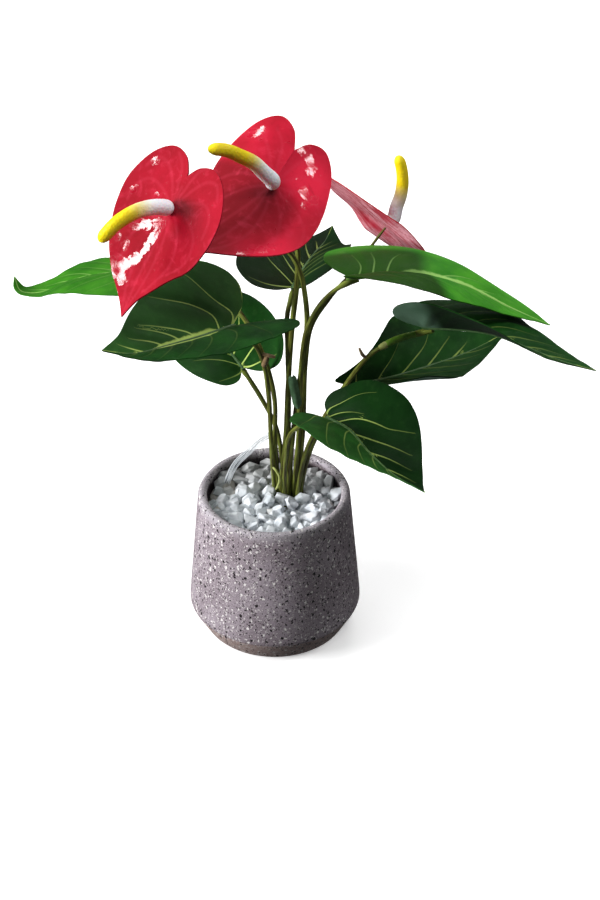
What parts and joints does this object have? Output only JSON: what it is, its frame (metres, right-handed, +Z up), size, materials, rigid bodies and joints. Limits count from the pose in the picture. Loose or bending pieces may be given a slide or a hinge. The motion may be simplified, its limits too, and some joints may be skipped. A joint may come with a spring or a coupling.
{
  "type": "potted anthurium",
  "caption": "Artificial anthurium with heart-shaped leaves and glossy crimson flowers on slender stalks, standing in a speckled stone-cement pot topped with white marble chips.",
  "frame": {"origin": "centre of the pot's flat base, on the surface it stands on", "axes": "+Z up along the pot's axis, -Y towards the viewer of the reference view"},
  "size_m": [0.4074, 0.3035, 0.407],
  "materials": {
    "pot": "matt speckled stone cement, mauve-grey with white and black specks",
    "filler": "rough dark rigid foam",
    "marble": "broken white marble chips, matt with small glints",
    "film": "thin clear film",
    "bright_leaf": "coated printed fabric, bright green with a pale midrib",
    "dark_leaf": "coated printed fabric, dark green with yellow-green veins",
    "stalk": "satin moulded plastic, olive brown with pale green streaks",
    "spathe": "high-gloss crimson with embossed wrinkles",
    "spadix": "satin, yellow tip fading to a white base"
  },
  "bodies": {
    "root": {"pot": "pot", "filler_block": "filler", "marble_chips": "marble", "clear_film_strip": "film", "leaf_a_blade": "bright_leaf", "leaf_b_blade": "dark_leaf", "leaf_c_blade": "dark_leaf", "leaf_d_blade": "dark_leaf", "leaf_e_blade": "bright_leaf", "leaf_f_blade": "dark_leaf", "leaf_g_blade": "dark_leaf", "leaf_h_blade": "dark_leaf", "leaf_a_stalk": "stalk", "leaf_b_stalk": "stalk", "leaf_c_stalk": "stalk", "leaf_d_stalk": "stalk", "leaf_e_stalk": "stalk", "leaf_f_stalk": "stalk", "leaf_g_stalk": "stalk", "leaf_h_stalk": "stalk", "flower_1_spathe": "spathe", "flower_2_spathe": "spathe", "flower_3_spathe": "spathe", "flower_1_spadix": "spadix", "flower_2_spadix": "spadix", "flower_3_spadix": "spadix", "flower_1_stalk": "stalk", "flower_2_stalk": "stalk", "flower_3_stalk": "stalk"}
  },
  "joints": []
}
